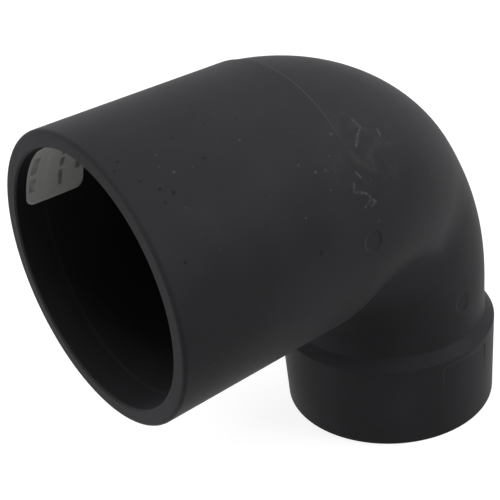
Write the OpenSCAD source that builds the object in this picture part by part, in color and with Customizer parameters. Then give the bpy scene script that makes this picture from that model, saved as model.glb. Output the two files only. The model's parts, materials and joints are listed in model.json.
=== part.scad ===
// Reducing closet elbow, moulded in one piece in black plastic.
// A long plain barrel for a four inch line turns through a right angle into a three inch socket.
// Millimetres. Origin at the centre of the socket's mouth, +Z up the socket, barrel towards -X.

/* [Barrel] */
// Outside diameter of the long plain end
barrel_od = 114.3; // [104:0.1:130]
// Wall of the barrel behind its mouth
barrel_wall = 6.85; // [4:0.05:9]
// Straight length of the barrel, from the bend to its mouth
barrel_len = 86.5; // [50:0.1:160]
// Depth of the slightly wider stretch at the mouth
mouth_depth = 14; // [8:0.5:30]
// How much wider that stretch is, on the radius
mouth_relief = 0.2; // [0.1:0.05:1]
// Radius on the outer edge of the mouth
rim_round = 1.4; // [0.4:0.1:2]
// Width of the bevel on the inner edge of the mouth
rim_bevel = 0.7; // [0.3:0.1:1.5]

/* [Bend] */
// Height of the barrel's underside above the point that the bend turns about
throat_drop = 9.4; // [6:0.1:16]
// Distance from that point to the side of the neck
throat_gap = 14.9; // [8:0.1:24]
// Small step down where the bend leaves the barrel
ring_step = 0.3; // [0.2:0.05:0.6]
// How fast the crown falls from the barrel's height to the neck's reach
crown_ease = 1.5; // [1:0.1:2]
// How far the crown swells at the middle of the bend, as a share of its reach
crown_swell = 0.013; // [0:0.001:0.03]
// Share of the bend over which the flanks come in to the neck's width
flank_span = 0.42; // [0.35:0.01:1]

/* [Neck] */
// How far the neck stands back from the socket's outside
neck_step = 4.3; // [3:0.1:8]
// Wall of the neck
neck_wall = 6.6; // [4:0.1:9]
// Plain length of the neck between the socket's shoulder and the bend
neck_len = 11.1; // [6:0.1:30]

/* [Socket] */
// Bore that the pipe is cemented into
socket_d = 89.2; // [80:0.1:95]
// Wall of the socket at its shoulder
hub_wall = 4.8; // [4:0.1:8]
// How much the socket narrows towards its mouth, on the radius
hub_draft = 0.85; // [0.3:0.05:1.2]
// Height of the socket's outside up to its shoulder
hub_h = 39.3; // [38:0.1:60]
// Height of the sloping shoulder above it
shoulder_h = 4.6; // [3.5:0.1:8]
// Depth of that bore down to its stop
socket_depth = 38.1; // [20:0.1:38.5]
// Radius on the socket's outer edges
hub_round = 1; // [0.4:0.1:1.6]
// Radius between the shoulder and the neck
root_fillet = 1.5; // [1:0.1:3]

/* [Moulding marks] */
// Diameter of the round ejector marks
ejector_d = 8; // [5:0.1:10]
// Depth of the flat that they leave
ejector_depth = 0.45; // [0.35:0.05:0.8]
// Height of the lower mark above the end of the plain neck
neck_mark_rise = 6.5; // [3:0.5:9]
// Distance of that mark from the middle of the neck's side
neck_mark_x = 2; // [0:0.5:8]
// Length of the shallow blank panel on the side of the socket
panel_len = 27; // [16:0.5:40]
// Height of the panel above the socket's mouth, where it runs out into the draft
panel_from = 20.5; // [10:0.5:28]
// Distance from the panel's upper edge to the shoulder
panel_drop = 2.7; // [2:0.1:6]
// Radius of the panel's corners
panel_round = 2.5; // [1:0.5:4]

/* [Label] */
// Length of the paper label, along the barrel
label_len = 25.4; // [16:0.1:45]
// Distance from the mouth to the label
label_inset = 4.9; // [2:0.1:7]
// Angle from the bore's side up to the label's lower edge
label_from = 15; // [0:0.5:35]
// Angle that the label covers
label_arc = 45; // [30:1:54]
// Thickness of the label
label_t = 0.15; // [0.1:0.05:0.3]
// Radius of the label's corners
label_round = 3.5; // [1:0.5:6]

/* [Hidden] */

// Derived places
barrel_r = barrel_od / 2;
bore_r = barrel_r - barrel_wall;
socket_r = socket_d / 2;
hub_r = socket_r + hub_wall;
neck_r = hub_r - neck_step;
waterway_r = neck_r - neck_wall;
pivot_h = hub_h + shoulder_h + neck_len;
axis_h = pivot_h + throat_drop + barrel_r;
bend_x = neck_r + throat_gap;
mouth_x = bend_x + barrel_len;
mouth_r = bore_r + mouth_relief;

// Overlap where one form runs into the next
lap = 0.5;
// How far the bend runs on inside the round forms at its two ends
run_on = 1.5;
// How much smaller than those round forms it ends, inside and outside
seat = 0.3;

// Facets of the bend: along it, and round its outside and its passage
bend_steps = 24;
skin_sides = 64;
passage_sides = 48;
arc_steps = 6;
fine = 96;

function blend(a, b, t) = a + (b - a) * t;

function ease(x) = x < 1 ? x * x * (3 - 2 * x) : 1;

// Distances from the point that the bend turns about, at t from 0 at the barrel to 1 at the neck
function throat_reach(t) = blend(throat_drop + ring_step, throat_gap + seat, t);
function crown_reach(t) =
    blend(
        throat_gap + 2 * neck_r - seat,
        throat_drop + 2 * barrel_r - ring_step,
        pow(1 - t, crown_ease)
    ) * (1 + crown_swell * sin(180 * t));
function flank_r(t) = blend(barrel_r - ring_step, neck_r - seat, ease(t / flank_span));

// The same for the passage inside, which keeps the wall between them
function wall(t) = blend(barrel_wall, neck_wall, t);
function inner_throat(t) = throat_reach(t) + wall(t);
function inner_crown(t) = crown_reach(t) - wall(t);
function inner_flank(t) = flank_r(t) - wall(t);

// One point of a section: r from the turning point, y across, turned down by 90 t degrees
function swing(r, y, t) = [-bend_x + r * sin(90 * t), y, pivot_h + r * cos(90 * t)];

function ring(near, far, half, t, sides) = [
    for (i = [0 : sides - 1])
        let (a = 360 * (i + 0.5) / sides)
        swing((far + near) / 2 + (far - near) / 2 * cos(a), half * sin(a), t)
];

// Closed tube of rings with flat ends
module loft(rings) {
    sides = len(rings[0]);
    last = len(rings) - 1;
    points = [for (r = rings) for (p = r) p];
    side_faces = [
        for (j = [0 : last - 1], i = [0 : sides - 1])
            let (a = j * sides + i, b = j * sides + (i + 1) % sides)
            [a, b, b + sides, a + sides]
    ];
    polyhedron(
        points,
        concat(
            [[for (i = [sides - 1 : -1 : 0]) i]],
            side_faces,
            [[for (i = [0 : sides - 1]) last * sides + i]]
        ),
        convexity = 4
    );
}

// Runs the first and last ring straight on past the ends of the bend
function run_past(rings) = concat(
    [[for (p = rings[0]) p - [run_on, 0, 0]]],
    rings,
    [[for (p = rings[len(rings) - 1]) p - [0, 0, run_on]]]
);

module bend_skin() {
    loft(run_past([
        for (j = [0 : bend_steps])
            let (t = j / bend_steps)
            ring(throat_reach(t), crown_reach(t), flank_r(t), t, skin_sides)
    ]));
}

module bend_passage() {
    loft(run_past([
        for (j = [0 : bend_steps])
            let (t = j / bend_steps)
            ring(inner_throat(t), inner_crown(t), inner_flank(t), t, passage_sides)
    ]));
}

// Stands a form that was made along +Z on the barrel's axis, from the mouth inwards
module along_barrel() {
    translate([-mouth_x, 0, axis_h]) rotate([0, 90, 0]) children();
}

function arc(centre, r, from, to) = [
    for (i = [0 : arc_steps])
        let (a = blend(from, to, i / arc_steps))
        centre + r * [cos(a), sin(a)]
];

module barrel_skin() {
    along_barrel() rotate_extrude($fn = fine) polygon(concat(
        [[0, 0]],
        arc([barrel_r - rim_round, rim_round], rim_round, -90, 0),
        [
            [barrel_r, barrel_len - 2 * ring_step],
            [barrel_r - 2 * ring_step, barrel_len],
            [0, barrel_len]
        ]
    ));
}

// Bore of the barrel: bevelled mouth, wider stretch, sloping step and the plain bore
module barrel_passage() {
    along_barrel() rotate_extrude($fn = fine) polygon([
        [0, -lap],
        [mouth_r + rim_bevel + lap, -lap],
        [mouth_r, rim_bevel],
        [mouth_r, mouth_depth - mouth_relief],
        [bore_r, mouth_depth],
        [bore_r, barrel_len - 2 * seat],
        [bore_r - 2 * seat, barrel_len],
        [0, barrel_len]
    ]);
}

// Outline of the socket and neck: draft, rounded edges, sloping shoulder and its fillet
module hub_skin() {
    slope = atan2(hub_r - neck_r, shoulder_h);
    fillet_reach = root_fillet * tan(slope / 2);
    foot_r = hub_r - hub_draft;
    rotate_extrude($fn = fine) polygon(concat(
        [[0, 0]],
        arc([foot_r - hub_round, hub_round], hub_round, -90, 0),
        arc([hub_r - hub_round, hub_h - hub_round], hub_round, 0, 90 - slope),
        arc(
            [neck_r + root_fillet, hub_h + shoulder_h + fillet_reach],
            root_fillet, 270 - slope, 180
        ),
        [[neck_r, pivot_h - 2 * seat], [neck_r - 2 * seat, pivot_h], [0, pivot_h]]
    ));
}

module hub_passage() {
    rotate_extrude($fn = fine) polygon([
        [0, -lap],
        [socket_r, -lap],
        [socket_r, socket_depth],
        [waterway_r, socket_depth],
        [waterway_r, pivot_h - 2 * seat],
        [waterway_r - 2 * seat, pivot_h],
        [0, pivot_h]
    ]);
}

// Flat round spot left by an ejector pin on the flank of a round form
module ejector_mark(x, z, flank) {
    translate([x, -flank + ejector_depth, z]) rotate([90, 0, 0])
        cylinder(d = ejector_d, h = 2 * ejector_depth, $fn = 48);
}

// Shallow pocket of a blank mould insert: its floor has no draft, so it runs out downwards
module panel_pocket() {
    floor_r = hub_r - hub_draft * (hub_h - panel_from) / hub_h;
    top = hub_h - panel_drop;
    bottom = panel_from - 2 * panel_round;
    difference() {
        rotate([90, 0, 0]) linear_extrude(hub_r + lap) hull() {
            for (x = [-1, 1], z = [bottom, top - panel_round])
                translate([x * (panel_len / 2 - panel_round), z]) circle(r = panel_round, $fn = 32);
        }
        cylinder(r = floor_r, h = hub_h, $fn = fine);
    }
}

module elbow_body() {
    color("#2b2b2d") difference() {
        union() {
            barrel_skin();
            bend_skin();
            hub_skin();
        }
        barrel_passage();
        bend_passage();
        hub_passage();
        ejector_mark(-bend_x, axis_h, barrel_r);
        ejector_mark(neck_mark_x, pivot_h + neck_mark_rise, neck_r);
        panel_pocket();
    }
}

// Flat outline of the label, as seen from the side
module label_outline() {
    low = mouth_r * sin(label_from) + label_round;
    high = mouth_r * sin(label_from + label_arc) - label_round;
    near = label_inset + label_round;
    far = label_inset + label_len - label_round;
    hull() for (x = [near, far], z = [low, high])
        translate([x, z]) circle(r = label_round, $fn = 32);
}

// Thin patch that lies on the bore and follows its step
module label() {
    color("#d8d8d2") intersection() {
        along_barrel() rotate_extrude($fn = fine) polygon([
            [mouth_r - label_t, 0],
            [mouth_r, 0],
            [mouth_r, mouth_depth - mouth_relief],
            [bore_r, mouth_depth],
            [bore_r, barrel_len],
            [bore_r - label_t, barrel_len],
            [bore_r - label_t, mouth_depth],
            [mouth_r - label_t, mouth_depth - mouth_relief]
        ]);
        translate([-mouth_x, mouth_r, axis_h]) rotate([90, 0, 0])
            linear_extrude(mouth_r) label_outline();
    }
}

elbow_body();
label();
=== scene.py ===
"""Looks of the closet elbow: a smooth black moulding, a paper label, a white floor and soft light.

Lengths are in millimetres up to the point where a mesh or a lamp is made.
"""

import json
import math

import bpy
import numpy as np
from mathutils import Matrix, Vector

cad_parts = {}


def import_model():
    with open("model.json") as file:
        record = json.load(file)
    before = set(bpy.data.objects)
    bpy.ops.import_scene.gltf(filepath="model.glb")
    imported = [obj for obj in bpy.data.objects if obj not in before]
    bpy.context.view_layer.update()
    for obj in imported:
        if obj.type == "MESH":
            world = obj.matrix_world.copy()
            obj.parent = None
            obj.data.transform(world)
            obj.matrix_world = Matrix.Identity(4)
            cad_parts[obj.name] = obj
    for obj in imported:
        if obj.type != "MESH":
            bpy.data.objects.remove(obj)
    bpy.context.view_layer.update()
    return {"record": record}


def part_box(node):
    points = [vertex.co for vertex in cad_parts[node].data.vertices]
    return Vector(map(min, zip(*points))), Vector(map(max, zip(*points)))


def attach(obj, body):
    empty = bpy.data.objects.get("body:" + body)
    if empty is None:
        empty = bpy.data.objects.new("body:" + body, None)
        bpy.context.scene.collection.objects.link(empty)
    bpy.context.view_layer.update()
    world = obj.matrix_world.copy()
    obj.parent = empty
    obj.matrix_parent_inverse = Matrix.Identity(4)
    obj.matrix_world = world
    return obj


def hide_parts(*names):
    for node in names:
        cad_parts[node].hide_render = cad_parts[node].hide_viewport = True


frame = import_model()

MM = 0.001

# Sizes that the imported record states
mounts = {m["name"]: m for m in frame["record"]["mounts"]}
barrel_r = mounts["barrel_spigot"]["dims"]["r_mm"]
axis_h = mounts["barrel_spigot"]["pos_m"][2] / MM
bore_r = mounts["barrel_bore"]["dims"]["r_mm"]
socket_r = mounts["hub_socket"]["dims"]["r_mm"]
socket_depth = mounts["hub_socket"]["dims"]["length_mm"]
body_lo, body_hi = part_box("elbow_body")
label_lo, label_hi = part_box("label")
mouth_x = -body_lo.x / MM
hub_r = body_hi.x / MM

# Barrel
barrel_len = 86.5
mouth_depth = 14.0
mouth_relief = 0.2
step_run = 1.6
rim_round = 1.4
rim_bevel = 0.7
mouth_r = bore_r + mouth_relief

# Bend: a section that turns about a point close under the barrel
throat_drop = 9.4
throat_gap = 14.9
ring_step = 0.45
ring_from = 0.55
ring_full = 0.8
crown_ease = 1.5
crown_swell = 0.013
flank_span = 0.58
throat_lead = 0.22
lead_reach = 0.5
flank_power = 1.8
flank_soft = 0.2
bend_x = mouth_x - barrel_len
pivot_h = axis_h - barrel_r - throat_drop
neck_r = bend_x - throat_gap

# Neck and socket
neck_len = 11.1
shoulder_h = 4.6
hub_h = pivot_h - neck_len - shoulder_h
hub_draft = 0.85
hub_round = 1.0
root_fillet = 1.5
waterway_r = 38.5
edge_round = 0.3

# Moulding marks on the side towards the camera
ejector_r = 4.0
ejector_depth = 0.45
neck_mark_h = 61.5
neck_mark_x = 2.0
panel_len = 27.0
panel_from = 20.5
panel_drop = 2.7
panel_round = 2.5
mark_edge = 0.35

# Label
label_round = 3.5
label_t = 0.15

# Print on the label as bare bars: place along, width, lower and upper end, as shares
PRINT_BARS = [
    (0.1, 0.1, 0.2, 0.4), (0.1, 0.1, 0.48, 0.76),
    (0.58, 0.07, 0.16, 0.4), (0.58, 0.07, 0.46, 0.6), (0.58, 0.09, 0.66, 0.94),
    (0.88, 0.09, 0.32, 0.5), (0.88, 0.09, 0.57, 0.84),
]
paper_colour = (0.8, 0.8, 0.76, 1.0)
ink_colour = (0.25, 0.25, 0.26, 1.0)

# Marks of handling, as x and degrees from the crown towards the camera
SCRATCHES = [
    [(-61.0, 63.0), (-59.5, 65.5)],
    [(-63.5, 66.5), (-64.5, 69.0), (-58.5, 72.0), (-58.0, 74.0), (-61.5, 76.0)],
    [(-58.0, 74.0), (-56.0, 75.5), (-58.5, 76.5)],
    [(-50.0, 43.5), (-48.5, 47.0), (-52.0, 50.0), (-55.5, 54.0)],
    [(-41.0, 49.0), (-41.5, 52.0)],
]
GRAINS = [
    (-55.5, 67.5, 0.6), (-63.0, 47.0, 0.9), (-74.0, 65.0, 0.8), (-127.0, 29.0, 0.8),
    (-125.5, 37.5, 0.8), (-97.0, 36.0, 0.7), (-82.0, 52.5, 0.7), (-77.0, 57.0, 0.9),
    (-73.0, 58.0, 0.8), (-68.5, 54.0, 0.6), (-88.0, 70.0, 0.6), (-56.5, 83.0, 0.7),
]
PITS = [
    (-140.0, 26.0, 0.8), (-133.5, 41.0, 0.9), (-130.0, 44.0, 1.1), (-117.5, 25.0, 0.7),
    (-143.0, 29.0, 0.8), (-138.0, 36.0, 0.7), (-134.5, 46.0, 0.7), (-113.0, 37.0, 0.8),
    (-137.5, 66.0, 0.9), (-104.0, 66.0, 0.6), (-92.0, 27.0, 0.6), (-85.0, 84.0, 1.2),
]
scratch_width = 0.9
rub_middle = (-52.0, 56.0)
rub_reach = 25.0
plastic_dark = (0.025, 0.025, 0.027, 1.0)
plastic_pale = (0.032, 0.032, 0.035, 1.0)
# Colour of the scratches, grains and rubbing, and also of the painted highlight along the step at the
# start of the bend
scratch_and_highlight_colour = (0.075, 0.075, 0.075, 1.0)
pit_colour = (0.014, 0.014, 0.014, 1.0)

# Columns round the section, closer on the side with the marks
wide_step = 2.5
close_step = 0.55
close_half = 18.5
side_angle = 270.0

# Light: the even part from all round, and lamps as place in metres, size and watts
world_level = 0.12
LAMPS = {
    "top": ((-0.1, 0.0, 1.2), 0.8, 8.0),
    "key": ((0.5, -0.85, 0.8), 0.5, 7.0),
    "front": ((0.15, -1.2, 0.3), 0.5, 1.0),
    "right": ((1.1, -0.2, 0.5), 0.6, 1.0),
    "back": ((-0.1, 0.9, 0.8), 0.8, 1.0),
    "mouth": ((-1.2, 0.35, 0.25), 0.4, 6.0),
}
lamp_aim = (-0.05, 0.0, 0.1)
floor_colour = (0.35, 0.35, 0.35, 1.0)
floor_glow = 0.85
floor_half = 30000.0
floor_gap = 0.2
plastic_gloss = 0.03
plastic_rough = 0.5

# Rows along the surface
long_step = 3.0
bend_rows = 90
arc_rows = 5


def blend(a, b, t):
    return a + (b - a) * t


def ease(x):
    x = np.clip(x, 0.0, 1.0)
    return x * x * (3.0 - 2.0 * x)


def columns():
    """Angles round the section in degrees, from the crown, with close ones round the marks."""
    low = side_angle - close_half
    high = side_angle + close_half
    close = np.linspace(low, high, int(2 * close_half / close_step) + 1)
    rest = 360.0 - 2 * close_half
    wide = np.linspace(high, low + 360.0, int(rest / wide_step) + 1)[1:-1]
    return np.radians(np.concatenate([close, wide]))


ANGLES = columns()


def barrel_ring(x, r):
    return np.stack([np.full_like(ANGLES, x), r * np.sin(ANGLES), axis_h + r * np.cos(ANGLES)], 1)


def upright_ring(r, z):
    return np.stack([r * np.cos(ANGLES), r * np.sin(ANGLES), np.full_like(ANGLES, z)], 1)


def ring_depth(angles):
    """Depth of the step behind the barrel, which is lost towards the flanks."""
    return ring_step * ease((np.cos(angles) - ring_from) / (ring_full - ring_from))


def bend_ring(near, far, half, t, angles, dip=0.0):
    reach = (far + near) / 2 + (far - near) / 2 * np.cos(angles) - dip
    turn = math.radians(90.0 * t)
    x = -bend_x + reach * math.sin(turn)
    z = pivot_h + reach * math.cos(turn)
    return np.stack([x, half * np.sin(angles), z], 1)


def throat_reach(t):
    return blend(throat_drop, throat_gap, t)


def crown_reach(t):
    low = throat_gap + 2 * neck_r
    high = throat_drop + 2 * barrel_r
    swell = 1.0 + crown_swell * math.sin(math.pi * t)
    return blend(low, high, (1.0 - t) ** crown_ease) * swell


def soft_top(x, power, soft):
    """Power law that runs into 1 with a rounded corner."""
    rise = np.clip(x, 0.0, 3.0) ** power
    share = np.clip(0.5 + 0.5 * (1.0 - rise) / soft, 0.0, 1.0)
    return blend(1.0, rise, share) - soft * share * (1.0 - share)


def flank_reach(t, angles):
    """Half width of the bend at each angle. It comes in sooner on the throat's side."""
    under = -np.cos(angles)
    span = flank_span - throat_lead * ease(under / lead_reach)
    return blend(barrel_r, neck_r, soft_top(t / span, flank_power, flank_soft))


def wall(t):
    return blend(barrel_r - bore_r, neck_r - waterway_r, t)


def outer_bend(t, angles=ANGLES):
    dip = ring_depth(angles) * (1.0 - t)
    return bend_ring(throat_reach(t), crown_reach(t), flank_reach(t, angles), t, angles, dip)


def inner_bend(t, angles=ANGLES):
    w = wall(t)
    half = flank_reach(t, angles) - w
    return bend_ring(throat_reach(t) + w, crown_reach(t) - w, half, t, angles)


def skin_point(x, around):
    """Point of the outside at x, so many degrees from the crown on the camera's side."""
    angle = np.array([-math.radians(around)])
    if x < -bend_x:
        y = barrel_r * math.sin(angle[0])
        return (x, y, axis_h + barrel_r * math.cos(angle[0]))
    low, high = 0.0, 1.0
    for _ in range(30):
        t = (low + high) / 2
        if outer_bend(t, angle)[0][0] < x:
            low = t
        else:
            high = t
    return tuple(outer_bend(t, angle)[0])


def rounded(corners, step):
    """Points of a profile whose corners (u, v, radius) are rounded, with points every step."""
    points = [np.array(corners[0][:2], float)]
    for before, corner, after in zip(corners, corners[1:], corners[2:]):
        here = np.array(corner[:2], float)
        back = np.array(before[:2], float) - here
        ahead = np.array(after[:2], float) - here
        back /= np.linalg.norm(back)
        ahead /= np.linalg.norm(ahead)
        half = math.acos(max(-1.0, min(1.0, float(back @ ahead)))) / 2
        radius = corner[2]
        if radius == 0:
            points.append(here)
            continue
        reach = radius / math.tan(half)
        middle = here + (back + ahead) / np.linalg.norm(back + ahead) * radius / math.sin(half)
        start = here + back * reach - middle
        end = here + ahead * reach - middle
        sweep = math.pi - 2 * half
        for k in range(arc_rows + 1):
            a = sweep * k / arc_rows
            across = end - start * math.cos(sweep)
            across /= np.linalg.norm(across)
            points.append(middle + start * math.cos(a) + across * radius * math.sin(a))
    points.append(np.array(corners[-1][:2], float))
    return spaced(points, step)


def spaced(points, step):
    """Adds points on long stretches, also one close to each end of them, which holds the edge."""
    out = [points[0]]
    for a, b in zip(points, points[1:]):
        length = float(np.linalg.norm(b - a))
        hold = min(0.3, length / 3)
        if length > 1.0:
            out.append(a + (b - a) * hold / length)
            count = max(1, int(length / step))
            for k in range(1, count):
                out.append(a + (b - a) * k / count)
            out.append(b - (b - a) * hold / length)
        out.append(b)
    return out


def bend_turns():
    """Positions along the bend, close together where the two round marks are."""
    even = np.linspace(0.0, 1.0, bend_rows + 1)
    first = np.linspace(0.0, 0.05, 12)
    last = np.linspace(0.865, 1.0, 26)
    turns = np.concatenate([even[(even > 0.05) & (even < 0.865)], first, last])
    return np.unique(np.round(turns, 6))


def outer_rows():
    start = -mouth_x
    end = -bend_x
    face = [
        (start, mouth_r + rim_bevel + 0.15, 0),
        (start, barrel_r, rim_round),
        (end - 2 * ring_step, barrel_r, 0),
        (end - ring_step, barrel_r, 0),
    ]
    close = np.arange(end - ejector_r - 1.0, end - 1.0, 0.5)
    barrel = rounded(face, long_step)
    barrel = sorted_in(barrel, [np.array([x, barrel_r]) for x in close])
    rows = [barrel_ring(x, r) for x, r in barrel[:-1]]
    rows.append(barrel_ring(end - ring_step, barrel_r - ring_depth(ANGLES)))
    rows += [outer_bend(t) for t in bend_turns()]
    return rows


def sorted_in(points, extra):
    """Puts extra points of a straight stretch in their place along it."""
    x0 = extra[0][0]
    x1 = extra[-1][0]
    before = [p for p in points if p[0] < x0 - 0.1]
    after = [p for p in points if p[0] > x1 + 0.1]
    return before + extra + after


def upright_rows():
    foot_r = hub_r - hub_draft
    profile = [
        (neck_r, pivot_h, 0),
        (neck_r, hub_h + shoulder_h, root_fillet),
        (hub_r, hub_h, hub_round),
        (foot_r, 0.0, hub_round),
        (socket_r, 0.0, edge_round),
        (socket_r, socket_depth, edge_round),
        (waterway_r, socket_depth, edge_round),
        (waterway_r, pivot_h, 0),
    ]
    points = rounded(profile, long_step)[1:-1]
    out = []
    for a, b in zip(points, points[1:]):
        out.append(a)
        outside = min(a[0], b[0]) > socket_r + 2.0
        panel_band = outside and hub_h - panel_drop - 4.0 < (a[1] + b[1]) / 2 < hub_h - 1.0
        length = float(np.linalg.norm(b - a))
        if panel_band and length > 0.6:
            count = int(length / 0.4)
            out += [a + (b - a) * k / count for k in range(1, count)]
    out.append(points[-1])
    return [upright_ring(r, z) for r, z in out]


def bore_rows():
    end = -bend_x
    step_x = -mouth_x + mouth_depth
    profile = [
        (end, bore_r, 0),
        (step_x, bore_r, edge_round),
        (step_x - step_run, mouth_r, edge_round),
        (-mouth_x + rim_bevel, mouth_r, edge_round),
        (-mouth_x, mouth_r + rim_bevel, edge_round / 2),
        (-mouth_x, mouth_r + rim_bevel + 0.3, 0),
    ]
    return [barrel_ring(x, r) for x, r in rounded(profile, 2 * long_step)[1:-1]]


def round_mark(p, x, z, flank):
    """Flat recess that an ejector pin leaves."""
    away = np.hypot(p[..., 0] - x, p[..., 2] - z)
    share = ease((ejector_r - away) / mark_edge + 0.5)
    floor = -flank + ejector_depth
    near = (p[..., 1] < -0.8 * flank) & (away < ejector_r + 1.0)
    sunk = np.maximum(p[..., 1], floor)
    p[..., 1] = np.where(near, blend(p[..., 1], sunk, share), p[..., 1])


def panel(p):
    """Shallow pocket whose floor has no draft, so that it runs out downwards."""
    top = hub_h - panel_drop
    half = panel_len / 2
    floor_r = hub_r - hub_draft * (hub_h - panel_from) / hub_h
    x = np.abs(p[..., 0]) - (half - panel_round)
    z = p[..., 2] - (top - panel_round)
    away = np.hypot(np.maximum(x, 0.0), np.maximum(z, 0.0)) + np.minimum(np.maximum(x, z), 0.0)
    share = ease((panel_round - away) / mark_edge + 0.5)
    r = np.hypot(p[..., 0], p[..., 1])
    on_hub = (p[..., 1] < 0.0) & (r > floor_r) & (p[..., 2] < top + 1.0) & (p[..., 2] > panel_from)
    scale = np.where(on_hub, blend(1.0, floor_r / np.maximum(r, 1.0), share), 1.0)
    p[..., 0] *= scale
    p[..., 1] *= scale


def tube_mesh(name, rows):
    """Closed surface from rings of points, joined round and from the last ring to the first."""
    count, around, _ = rows.shape
    row = np.arange(count)[:, None]
    col = np.arange(around)[None, :]
    nxt_row = (row + 1) % count
    nxt_col = (col + 1) % around
    quads = np.stack([row * around + col, row * around + nxt_col,
                      nxt_row * around + nxt_col, nxt_row * around + col], -1)
    return mesh_object(name, rows.reshape(-1, 3), quads.reshape(-1, 4)[:, ::-1])


def mesh_object(name, points, faces):
    mesh = bpy.data.meshes.new(name)
    mesh.from_pydata((points * MM).tolist(), [], [list(map(int, f)) for f in faces])
    mesh.validate()
    mesh.shade_smooth()
    made = bpy.data.objects.new(name, mesh)
    bpy.context.scene.collection.objects.link(made)
    return made


def elbow_shell():
    inner = [inner_bend(t) for t in np.linspace(1.0, 0.0, bend_rows // 2 + 1)]
    rows = np.array(outer_rows() + upright_rows() + inner + bore_rows())
    round_mark(rows, -bend_x, axis_h, barrel_r)
    round_mark(rows, neck_mark_x, neck_mark_h, neck_r)
    panel(rows)
    return tube_mesh("elbow_shell", rows)


def label_sheet():
    """Paper patch on the bore: rows along the barrel, each between its lower and upper edge."""
    x0, x1 = label_lo.x / MM, label_hi.x / MM
    z0, z1 = label_lo.z / MM, label_hi.z / MM
    ends = label_round * (1 - np.cos(np.linspace(0, math.pi / 2, 9)))
    xs = np.concatenate([x0 + ends, np.linspace(x0 + label_round, x1 - label_round, 24)[1:-1],
                         (x1 - ends)[::-1]])
    step_x = -mouth_x + mouth_depth
    wall_r = np.interp(xs, [step_x - step_run, step_x], [mouth_r, bore_r])
    past = np.clip(label_round - np.minimum(xs - x0, x1 - xs), 0, label_round)
    inset = label_round - np.sqrt(np.maximum(label_round**2 - past**2, 0))
    share = np.linspace(0, 1, 21)[None, :]
    z = blend((z0 + inset)[:, None], (z1 - inset)[:, None], share)
    x = np.broadcast_to(xs[:, None], z.shape)
    sides = []
    for r in (wall_r - label_t, wall_r):
        y = np.sqrt(r[:, None] ** 2 - (z - axis_h) ** 2)
        sides.append(np.stack([x, y, z], -1))
    rows, cols = z.shape
    return sheet_mesh("paper_label", sides, rows, cols, (x0, z0, x1, z1))


def sheet_mesh(name, sides, rows, cols, extent):
    """Thin closed sheet between two grids of points, with its flat outline as UV map."""
    front = np.arange(rows * cols).reshape(rows, cols)
    back = front + rows * cols
    faces = []
    for i in range(rows - 1):
        for j in range(cols - 1):
            faces.append((front[i, j], front[i, j + 1], front[i + 1, j + 1], front[i + 1, j]))
            faces.append((back[i, j], back[i + 1, j], back[i + 1, j + 1], back[i, j + 1]))
    edge = [(0, j) for j in range(cols)] + [(i, cols - 1) for i in range(1, rows)]
    edge += [(rows - 1, j) for j in range(cols - 2, -1, -1)] + [(i, 0) for i in range(rows - 2, 0, -1)]
    for a, b in zip(edge, edge[1:] + edge[:1]):
        faces.append((front[b], front[a], back[a], back[b]))
    made = mesh_object(name, np.concatenate([s.reshape(-1, 3) for s in sides]), faces)
    x0, z0, x1, z1 = extent
    layer = made.data.uv_layers.new(name="flat")
    for loop in made.data.loops:
        co = made.data.vertices[loop.vertex_index].co / MM
        layer.data[loop.index].uv = ((co.x - x0) / (x1 - x0), (co.z - z0) / (z1 - z0))
    return made


def new_material(name):
    made = bpy.data.materials.new(name)
    made.use_nodes = True
    return made, made.node_tree, made.node_tree.nodes["Principled BSDF"]


def add(tree, kind, **settings):
    made = tree.nodes.new("ShaderNode" + kind)
    for key, value in settings.items():
        setattr(made, key, value)
    return made


def math_node(tree, kind, first, second, clamp=False):
    made = add(tree, "Math", operation=kind, use_clamp=clamp)
    for socket, value in zip(made.inputs, (first, second)):
        if isinstance(value, (int, float)):
            socket.default_value = value
        else:
            tree.links.new(value, socket)
    return made.outputs[0]


def vector_node(tree, kind, first, second):
    made = add(tree, "VectorMath", operation=kind)
    for socket, value in zip(made.inputs, (first, second)):
        if isinstance(value, tuple):
            socket.default_value = value
        else:
            tree.links.new(value, socket)
    return made


def fall(tree, value, full, none):
    """1 where the value is below full, 0 above none, soft between."""
    made = add(tree, "MapRange", interpolation_type="SMOOTHSTEP")
    made.inputs["From Min"].default_value = full
    made.inputs["From Max"].default_value = none
    made.inputs["To Min"].default_value = 1.0
    made.inputs["To Max"].default_value = 0.0
    tree.links.new(value, made.inputs["Value"])
    return made.outputs["Result"]


def near_segment(tree, place, start, end, width):
    """1 on the line from start to end, which is so many millimetres wide."""
    start, end = Vector(start) * MM, Vector(end) * MM
    along = end - start
    away = vector_node(tree, "SUBTRACT", place, tuple(start)).outputs["Vector"]
    share = vector_node(tree, "DOT_PRODUCT", away, tuple(along / along.length_squared))
    share = math_node(tree, "ADD", share.outputs["Value"], 0.0, clamp=True)
    scaled = add(tree, "VectorMath", operation="SCALE")
    scaled.inputs[0].default_value = along
    tree.links.new(share, scaled.inputs["Scale"])
    rest = vector_node(tree, "SUBTRACT", away, scaled.outputs["Vector"]).outputs["Vector"]
    length = add(tree, "VectorMath", operation="LENGTH")
    tree.links.new(rest, length.inputs[0])
    return fall(tree, length.outputs["Value"], 0.2 * width * MM, 0.8 * width * MM)


def near_point(tree, place, point, full, none):
    away = vector_node(tree, "DISTANCE", place, tuple(Vector(point) * MM)).outputs["Value"]
    return fall(tree, away, full * MM, none * MM)


def noise(tree, place, scale, detail, low, high):
    """Noise that runs from 0 at low to 1 at high."""
    made = add(tree, "TexNoise")
    made.inputs["Scale"].default_value = scale
    made.inputs["Detail"].default_value = detail
    tree.links.new(place, made.inputs["Vector"])
    return fall(tree, made.outputs["Fac"], high, low)


def strongest(tree, shares):
    out = shares[0]
    for share in shares[1:]:
        out = math_node(tree, "MAXIMUM", out, share)
    return out


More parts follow.
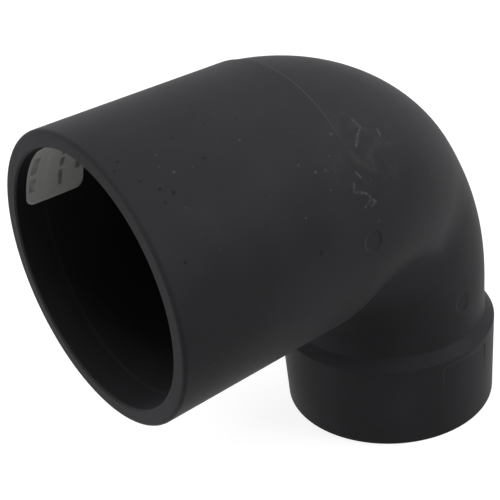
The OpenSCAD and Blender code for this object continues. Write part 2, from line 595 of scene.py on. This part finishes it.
def dots(tree, place, cell, radius, chance):
    """Sparse round dots: one in some of the cells that are so many millimetres wide."""
    made = add(tree, "TexVoronoi")
    made.inputs["Scale"].default_value = 1.0 / (cell * MM)
    tree.links.new(place, made.inputs["Vector"])
    split = add(tree, "SeparateColor")
    tree.links.new(made.outputs["Color"], split.inputs["Color"])
    dot = fall(tree, made.outputs["Distance"], 0.5 * radius / cell, radius / cell)
    chosen = math_node(tree, "LESS_THAN", split.outputs["Red"], chance)
    return math_node(tree, "MULTIPLY", dot, chosen)


def handling_marks_and_highlight(tree, place):
    """Whitish rubbing round the start of the bend, with a few scratches and grains, and a painted
    highlight along the step over the crown.
    """
    marks = []
    for line in SCRATCHES:
        points = [skin_point(x, around) for x, around in line]
        for start, end in zip(points, points[1:]):
            marks.append(near_segment(tree, place, start, end, scratch_width))
    for x, around, radius in GRAINS:
        marks.append(near_point(tree, place, skin_point(x, around), 0.1 * radius, radius))
    broken = noise(tree, place, 900.0, 4.0, 0.3, 0.65)
    lines = math_node(tree, "MULTIPLY", strongest(tree, marks), broken)
    zone = near_point(tree, place, skin_point(*rub_middle), 0.2 * rub_reach, rub_reach)
    cloud = math_node(tree, "MULTIPLY", noise(tree, place, 230.0, 7.0, 0.42, 0.8), zone)
    specks = dots(tree, place, 5.0, 0.4, 0.6)
    soft = math_node(tree, "MULTIPLY", cloud, 0.28)
    faint = math_node(tree, "MULTIPLY", specks, 0.45)
    # The last share is the painted highlight line along the step over the crown
    return strongest(tree, [lines, soft, faint, painted_ring_highlight(tree, place)])


def painted_ring_highlight(tree, place):
    """Painted highlight: a light line along the step at the start of the bend, over the crown,
    stronger towards the top where the step catches the light.
    """
    split = add(tree, "SeparateXYZ")
    tree.links.new(place, split.inputs["Vector"])
    off = math_node(tree, "ADD", split.outputs["X"], (bend_x + ring_step / 2) * MM)
    line = fall(tree, math_node(tree, "ABSOLUTE", off, 0.0), 0.15 * MM, 0.6 * MM)
    low = axis_h + barrel_r * ring_from
    high = axis_h + barrel_r * ring_full
    above = fall(tree, split.outputs["Z"], high * MM, low * MM)
    return math_node(tree, "MULTIPLY", math_node(tree, "MULTIPLY", line, above), 0.3)


def pits(tree, place):
    marks = [near_point(tree, place, skin_point(x, around), 0.2 * radius, radius)
             for x, around, radius in PITS]
    marks.append(math_node(tree, "MULTIPLY", dots(tree, place, 6.5, 0.5, 0.6), 0.6))
    return strongest(tree, marks)


def mixed(tree, share, first, second):
    """Colour or number between two, by share."""
    kind = "RGBA" if isinstance(second, tuple) else "FLOAT"
    made = add(tree, "Mix", data_type=kind)
    sockets = [i for i in made.inputs if i.enabled]
    tree.links.new(share, sockets[0])
    for socket, value in zip(sockets[1:], (first, second)):
        if isinstance(value, (tuple, float)):
            socket.default_value = value
        else:
            tree.links.new(value, socket)
    return [o for o in made.outputs if o.enabled][0]


def black_plastic():
    made, tree, shader = new_material("black_plastic")
    shader.inputs["Roughness"].default_value = plastic_rough
    shader.inputs["Specular IOR Level"].default_value = plastic_gloss
    place = add(tree, "TexCoord").outputs["Object"]
    uneven = noise(tree, place, 22.0, 3.0, 0.3, 0.7)
    colour = mixed(tree, uneven, plastic_dark, plastic_pale)
    # Real scratches and rubbing, plus the painted highlight line on the step over the crown, in one
    # lighter colour
    colour = mixed(tree, handling_marks_and_highlight(tree, place), colour, scratch_and_highlight_colour)
    colour = mixed(tree, pits(tree, place), colour, pit_colour)
    tree.links.new(colour, shader.inputs["Base Color"])
    grain = add(tree, "TexNoise")
    grain.inputs["Scale"].default_value = 900.0
    grain.inputs["Detail"].default_value = 3.0
    tree.links.new(place, grain.inputs["Vector"])
    bump = add(tree, "Bump")
    bump.inputs["Strength"].default_value = 0.1
    bump.inputs["Distance"].default_value = 0.0001
    tree.links.new(grain.outputs["Fac"], bump.inputs["Height"])
    tree.links.new(bump.outputs["Normal"], shader.inputs["Normal"])
    return made


def print_bar(tree, u, v, bar):
    """One blurred bar across the label: place, width, lower and upper end."""
    u0, width, low, high = bar
    off = math_node(tree, "ABSOLUTE", math_node(tree, "SUBTRACT", u, u0), 0.0)
    across = fall(tree, off, 0.3 * width, 0.7 * width)
    beyond = math_node(tree, "ABSOLUTE", math_node(tree, "SUBTRACT", v, (low + high) / 2), 0.0)
    along = fall(tree, beyond, (high - low) / 2 - 0.02, (high - low) / 2 + 0.02)
    return math_node(tree, "MULTIPLY", across, along)


def paper():
    made, tree, shader = new_material("paper_label")
    shader.inputs["Roughness"].default_value = 0.75
    flat = add(tree, "UVMap", uv_map="flat").outputs["UV"]
    split = add(tree, "SeparateXYZ")
    tree.links.new(flat, split.inputs["Vector"])
    u, v = split.outputs["X"], split.outputs["Y"]
    bars = strongest(tree, [print_bar(tree, u, v, bar) for bar in PRINT_BARS])
    worn = noise(tree, flat, 6.0, 0.0, 0.1, 0.75)
    ink = math_node(tree, "MULTIPLY", bars, worn)
    tree.links.new(mixed(tree, ink, paper_colour, ink_colour), shader.inputs["Base Color"])
    return made


def seen_directly(tree):
    """1 on the rays that show a background: from the camera, off gloss and through glass."""
    path = add(tree, "LightPath")
    first = add(tree, "Math", operation="MAXIMUM")
    second = add(tree, "Math", operation="MAXIMUM")
    tree.links.new(path.outputs["Is Camera Ray"], first.inputs[0])
    tree.links.new(path.outputs["Is Glossy Ray"], first.inputs[1])
    tree.links.new(first.outputs[0], second.inputs[0])
    tree.links.new(path.outputs["Is Transmission Ray"], second.inputs[1])
    return second.outputs[0]


def floor():
    corners = [(-1, -1), (1, -1), (1, 1), (-1, 1)]
    points = np.array([(floor_half * x, floor_half * y, -floor_gap) for x, y in corners], float)
    made = mesh_object("floor", points, [(0, 1, 2, 3)])
    mat, tree, shader = new_material("floor")
    shader.inputs["Base Color"].default_value = floor_colour
    shader.inputs["Roughness"].default_value = 0.9
    shader.inputs["Specular IOR Level"].default_value = 0.0
    shader.inputs["Emission Color"].default_value = (1.0, 1.0, 1.0, 1.0)
    seen = seen_directly(tree)
    glow = add(tree, "Math", operation="MULTIPLY")
    glow.inputs[1].default_value = floor_glow
    tree.links.new(seen, glow.inputs[0])
    tree.links.new(glow.outputs[0], shader.inputs["Emission Strength"])
    made.data.materials.append(mat)
    return made


def world():
    made = bpy.data.worlds.new("studio")
    bpy.context.scene.world = made
    made.use_nodes = True
    tree = made.node_tree
    back = tree.nodes["Background"]
    back.inputs["Color"].default_value = (1.0, 1.0, 1.0, 1.0)
    level = add(tree, "MapRange")
    level.inputs["To Min"].default_value = world_level
    level.inputs["To Max"].default_value = 1.0
    tree.links.new(seen_directly(tree), level.inputs["Value"])
    tree.links.new(level.outputs["Result"], back.inputs["Strength"])


def lamp(name, place, aim, size, power):
    data = bpy.data.lights.new(name, "AREA")
    data.size = size
    data.energy = power
    made = bpy.data.objects.new(name, data)
    bpy.context.scene.collection.objects.link(made)
    made.location = place
    made.rotation_mode = "QUATERNION"
    made.rotation_quaternion = (Vector(aim) - Vector(place)).to_track_quat("-Z", "Y")
    return made


def camera():
    """Camera at the photo's angle, from the fit of the rim, the barrel and the socket."""
    spot = Vector((-0.29071, -0.29684, 0.30068))
    aim = Vector((-0.07368, 0.0, 0.10372))
    roll = math.radians(-6.948)
    data = bpy.data.cameras.new("camera")
    data.lens = 74.85
    data.sensor_width = 36.0
    made = bpy.data.objects.new("camera", data)
    bpy.context.scene.collection.objects.link(made)
    turn = (aim - spot).to_track_quat("-Z", "Y").to_matrix().to_4x4()
    made.matrix_world = Matrix.Translation(spot) @ turn @ Matrix.Rotation(roll, 4, "Z")
    bpy.context.scene.camera = made
    return made


shell = elbow_shell()
shell.data.materials.append(black_plastic())
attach(shell, "root")
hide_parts("elbow_body")

sticker = label_sheet()
sticker.data.materials.append(paper())
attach(sticker, "root")
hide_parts("label")

floor()
world()
for name, (place, size, power) in LAMPS.items():
    lamp(name, place, lamp_aim, size, power)
camera()
bpy.context.scene.view_settings.view_transform = "Standard"
